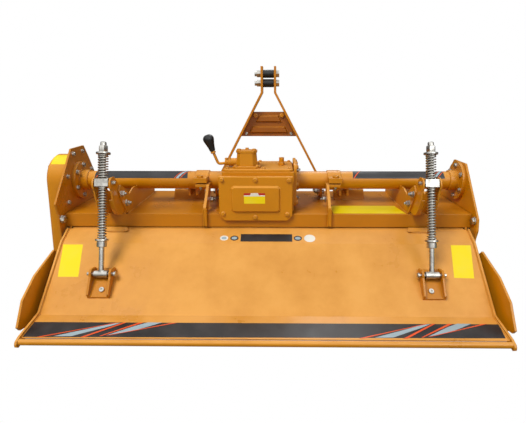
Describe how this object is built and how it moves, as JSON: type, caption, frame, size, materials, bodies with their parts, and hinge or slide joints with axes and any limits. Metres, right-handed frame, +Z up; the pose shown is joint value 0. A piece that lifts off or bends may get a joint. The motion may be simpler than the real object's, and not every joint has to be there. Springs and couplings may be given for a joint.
{
  "type": "rotavator",
  "caption": "Tractor-mounted rotary tiller: bladed rotor under a sheet hood, side gear drive, sprung trailing board, skids and three-point mast.",
  "frame": {"origin": "on the floor under the middle of the machine's bounding box", "axes": "+Z up, +Y forward to the tractor, +X to the right side seen from behind"},
  "size_m": [1.92, 0.98, 1.142],
  "materials": {
    "paint": "satin",
    "zinc": "satin",
    "bright_steel": "satin",
    "black_plastic": "matte"
  },
  "bodies": {
    "frame": {"bearing_cap": "paint", "breather_plug": "paint", "cross_tube_left": "paint", "cross_tube_right": "paint", "gear_case": "paint", "gear_case_lid": "paint", "gearbox_housing": "paint", "gearbox_lid": "paint", "gearbox_rear_cover": "paint", "gearbox_side_flange": "paint", "hinge_lugs": "paint", "hinge_rod": "zinc", "hitch_bracket_left": "paint", "hitch_bracket_right": "paint", "hitch_pins": "zinc", "hood": "paint", "hood_hangers": "paint", "mast_feet": "paint", "mast_leg_left": "paint", "mast_leg_right": "paint", "mast_plate": "paint", "rod_arm_left": "paint", "rod_arm_right": "paint", "rod_gusset_left": "paint", "rod_gusset_right": "paint", "shaft_guard": "paint", "shift_knob": "black_plastic", "shift_lever": "paint", "shift_tower": "paint", "side_plate_left": "paint", "side_plate_right": "paint", "skid_left": "paint", "skid_right": "paint", "top_bolts": "zinc", "top_spacers": "black_plastic", "tube_saddles": "paint"},
    "rotor": {"rotor": "paint"},
    "input": {"input_shaft": "bright_steel"},
    "board": {"trailing_board": "paint", "clevises": "paint", "eye_pins": "zinc"},
    "left_block": {"swivel_block_left": "zinc", "upper_spring_left": "zinc", "lower_spring_left": "zinc"},
    "right_block": {"swivel_block_right": "zinc", "upper_spring_right": "zinc", "lower_spring_right": "zinc"},
    "left_rod": {"spring_rod_left": "zinc"},
    "right_rod": {"spring_rod_right": "zinc"}
  },
  "joints": [
    {"name": "rotor_spin", "type": "hinge", "parent": "frame", "child": "rotor", "pos_m": [0, 0.147, 0.257], "axis": [-1, 0, 0], "continuous": true},
    {"name": "input_spin", "type": "hinge", "parent": "frame", "child": "input", "pos_m": [0, 0.297, 0.624], "axis": [0, 1, 0], "continuous": true},
    {"name": "board_hinge", "type": "hinge", "parent": "frame", "child": "board", "pos_m": [0, -0.025, 0.46], "axis": [-1, 0, 0], "range_deg": [0, 25]},
    {"name": "left_block_swivel", "type": "hinge", "parent": "frame", "child": "left_block", "pos_m": [-0.636, -0.142, 0.689], "axis": [-1, 0, 0], "range_deg": [0, 11.95]},
    {"name": "left_rod_slide", "type": "slide", "parent": "left_block", "child": "left_rod", "axis": [0, 0.2949, 0.9555], "range_m": [0, 0.0851], "deforming": ["lower_spring_left"]},
    {"name": "right_block_swivel", "type": "hinge", "parent": "frame", "child": "right_block", "pos_m": [0.636, -0.142, 0.689], "axis": [-1, 0, 0], "range_deg": [0, 11.95]},
    {"name": "right_rod_slide", "type": "slide", "parent": "right_block", "child": "right_rod", "axis": [0, 0.2949, 0.9555], "range_m": [0, 0.0851], "deforming": ["lower_spring_right"]}
  ],
  "couplings": [
    {"joint": "input_spin", "follows": "rotor_spin", "ratio": 2.45},
    {"joint": "left_block_swivel", "follows": "board_hinge", "ratio": 0.47},
    {"joint": "left_rod_slide", "follows": "board_hinge", "m_per_rad": 0.194},
    {"joint": "right_block_swivel", "follows": "board_hinge", "ratio": 0.47},
    {"joint": "right_rod_slide", "follows": "board_hinge", "m_per_rad": 0.194}
  ]
}
